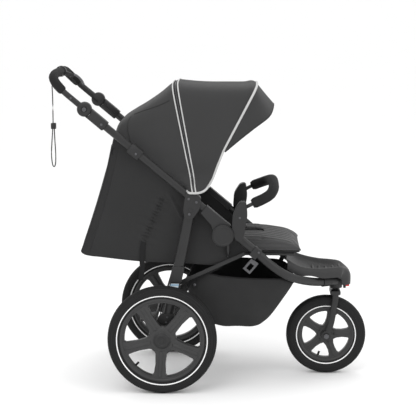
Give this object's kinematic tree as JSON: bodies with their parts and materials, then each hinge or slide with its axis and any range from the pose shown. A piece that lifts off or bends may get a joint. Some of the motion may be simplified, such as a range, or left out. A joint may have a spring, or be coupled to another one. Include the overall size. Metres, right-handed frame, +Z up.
{
  "type": "baby stroller",
  "caption": "Three-wheel jogging stroller with folding canopy, tilting handle, reclining seat, bumper bar, footrest and swivelling front wheel",
  "frame": {"origin": "centre of the footprint's bounding box on the floor, below the seat, measured without the wrist strap", "axes": "+X is the way the stroller rolls forwards, +Y is its left side, +Z is up"},
  "size_m": [1.1924, 0.6248, 1.1745],
  "materials": {
    "frame_black": "satin black powder coat",
    "plastic_black": "fine-grained black moulding",
    "tray_grey": "textured dark grey moulding",
    "wheel_plastic": "moulded black rim",
    "tyre": "matt treaded rubber with a pale reflective ring",
    "cable": "smooth black cable housing",
    "foam": "closed-cell foam grip",
    "fabric_charcoal": "woven charcoal polyester",
    "pad_charcoal": "quilted charcoal polyester over foam",
    "webbing": "woven black cord",
    "steel": "zinc-plated steel"
  },
  "bodies": {
    "upper_frame": {"upper_tube_left": "frame_black", "upper_tube_right": "frame_black", "handle_hinge_left": "plastic_black", "handle_hinge_right": "plastic_black", "canopy_clip_left": "plastic_black", "canopy_clip_right": "plastic_black", "leg_joint_left": "plastic_black", "leg_joint_right": "plastic_black", "fold_hub_left": "plastic_black", "fold_hub_right": "plastic_black", "bumper_mount_left": "plastic_black", "bumper_mount_right": "plastic_black", "seat_frame": "frame_black", "seat_cushion": "pad_charcoal", "seat_side_left": "fabric_charcoal", "seat_side_right": "fabric_charcoal", "seat_rear_panel": "fabric_charcoal", "basket": "fabric_charcoal", "canopy_rear_fabric": "fabric_charcoal", "brake_cable": "cable"},
    "front_frame": {"front_tube_left": "frame_black", "front_tube_right": "frame_black", "steering_head": "plastic_black", "footrest_tray": "tray_grey", "latch_clip": "plastic_black"},
    "fork": {"fork": "frame_black", "front_axle": "steel"},
    "front_wheel": {"front_rim": "wheel_plastic", "front_tyre": "tyre"},
    "swivel_lock": {"swivel_lock": "plastic_black"},
    "fold_latch": {"fold_latch": "steel"},
    "rear_legs": {"rear_leg_left": "frame_black", "rear_leg_right": "frame_black", "rear_axle": "frame_black"},
    "rear_wheel_left": {"rear_rim_left": "wheel_plastic", "rear_tyre_left": "tyre", "hub_cap_left": "plastic_black"},
    "rear_wheel_right": {"rear_rim_right": "wheel_plastic", "rear_tyre_right": "tyre", "hub_cap_right": "plastic_black"},
    "brake_pedal": {"brake_pedal": "plastic_black"},
    "fold_links": {"fold_link_left": "frame_black", "fold_link_right": "frame_black"},
    "handle": {"handle_bar": "plastic_black", "handle_grip": "foam", "lever_bracket": "plastic_black", "wrist_strap": "webbing", "strap_slider": "plastic_black"},
    "handle_button_left": {"handle_button_left": "plastic_black"},
    "handle_button_right": {"handle_button_right": "plastic_black"},
    "brake_lever": {"brake_lever": "steel"},
    "bumper": {"bumper_bar": "frame_black", "bumper_foam": "foam"},
    "backrest": {"backrest_board": "plastic_black", "backrest_pad": "pad_charcoal"},
    "canopy_middle": {"canopy_rear_bow": "frame_black", "canopy_middle_fabric": "fabric_charcoal"},
    "canopy_front": {"canopy_front_bow": "frame_black", "canopy_visor": "fabric_charcoal"}
  },
  "joints": [
    {"name": "frame_fold", "type": "hinge", "parent": "upper_frame", "child": "front_frame", "pos_m": [0.0465, 0, 0.58], "axis": [0, 1, 0], "range_deg": [0, 96], "deforming": ["basket"]},
    {"name": "rear_legs_fold", "type": "hinge", "parent": "upper_frame", "child": "rear_legs", "pos_m": [-0.0705, 0, 0.67], "axis": [0, 1, 0], "range_deg": [0, 46.7]},
    {"name": "fold_links_turn", "type": "hinge", "parent": "front_frame", "child": "fold_links", "pos_m": [0.1265, 0, 0.505], "axis": [0, 1, 0], "range_deg": [-71, 0]},
    {"name": "front_swivel", "type": "hinge", "parent": "front_frame", "child": "fork", "pos_m": [0.4745, 0, 0.35], "axis": [0, 0, 1], "continuous": true},
    {"name": "front_wheel_spin", "type": "hinge", "parent": "fork", "child": "front_wheel", "pos_m": [0.4385, 0, 0.1525], "axis": [0, 1, 0], "continuous": true},
    {"name": "rear_wheel_spin_left", "type": "hinge", "parent": "rear_legs", "child": "rear_wheel_left", "pos_m": [-0.1735, 0.285, 0.2], "axis": [0, 1, 0], "continuous": true},
    {"name": "rear_wheel_spin_right", "type": "hinge", "parent": "rear_legs", "child": "rear_wheel_right", "pos_m": [-0.1735, -0.285, 0.2], "axis": [0, 1, 0], "continuous": true},
    {"name": "swivel_lock_slide", "type": "slide", "parent": "front_frame", "child": "swivel_lock", "axis": [0, 0, -1], "range_m": [0, 0.004]},
    {"name": "fold_latch_swing", "type": "hinge", "parent": "front_frame", "child": "fold_latch", "pos_m": [0.1635, -0.234, 0.488], "axis": [0, 1, 0], "range_deg": [-12, 25]},
    {"name": "parking_brake_press", "type": "hinge", "parent": "rear_legs", "child": "brake_pedal", "pos_m": [-0.2135, 0, 0.212], "axis": [0, -1, 0], "range_deg": [0, 18]},
    {"name": "handle_tilt", "type": "hinge", "parent": "upper_frame", "child": "handle", "pos_m": [-0.4515, 0, 1.034], "axis": [0, 1, 0], "range_deg": [-35, 40]},
    {"name": "handle_button_press_left", "type": "slide", "parent": "handle", "child": "handle_button_left", "axis": [0, -1, 0], "range_m": [0, 0.004], "stiffness_N_per_m": 800},
    {"name": "handle_button_press_right", "type": "slide", "parent": "handle", "child": "handle_button_right", "axis": [0, 1, 0], "range_m": [0, 0.004], "stiffness_N_per_m": 800},
    {"name": "brake_lever_squeeze", "type": "hinge", "parent": "handle", "child": "brake_lever", "pos_m": [-0.5255, 0.04, 1.142], "axis": [0, 1, 0], "range_deg": [0, 20], "stiffness_Nm_per_rad": 1.2},
    {"name": "bumper_swing", "type": "hinge", "parent": "upper_frame", "child": "bumper", "pos_m": [0.1285, 0, 0.68], "axis": [0, -1, 0], "range_deg": [0, 50]},
    {"name": "backrest_recline", "type": "hinge", "parent": "upper_frame", "child": "backrest", "pos_m": [0.0215, 0, 0.482], "axis": [0, 1, 0], "range_deg": [0, 50]},
    {"name": "canopy_fold", "type": "hinge", "parent": "upper_frame", "child": "canopy_middle", "pos_m": [-0.0535, 0, 0.738], "axis": [0, -1, 0], "range_deg": [0, 32], "deforming": ["canopy_rear_fabric", "canopy_middle_fabric"]},
    {"name": "canopy_front_fold", "type": "hinge", "parent": "canopy_middle", "child": "canopy_front", "pos_m": [-0.0535, 0, 0.738], "axis": [0, -1, 0], "range_deg": [0, 32]}
  ],
  "couplings": [
    {"joint": "rear_legs_fold", "follows": "frame_fold", "ratio": 0.486},
    {"joint": "fold_links_turn", "follows": "frame_fold", "ratio": -0.739},
    {"joint": "canopy_front_fold", "follows": "canopy_fold", "ratio": 1}
  ]
}
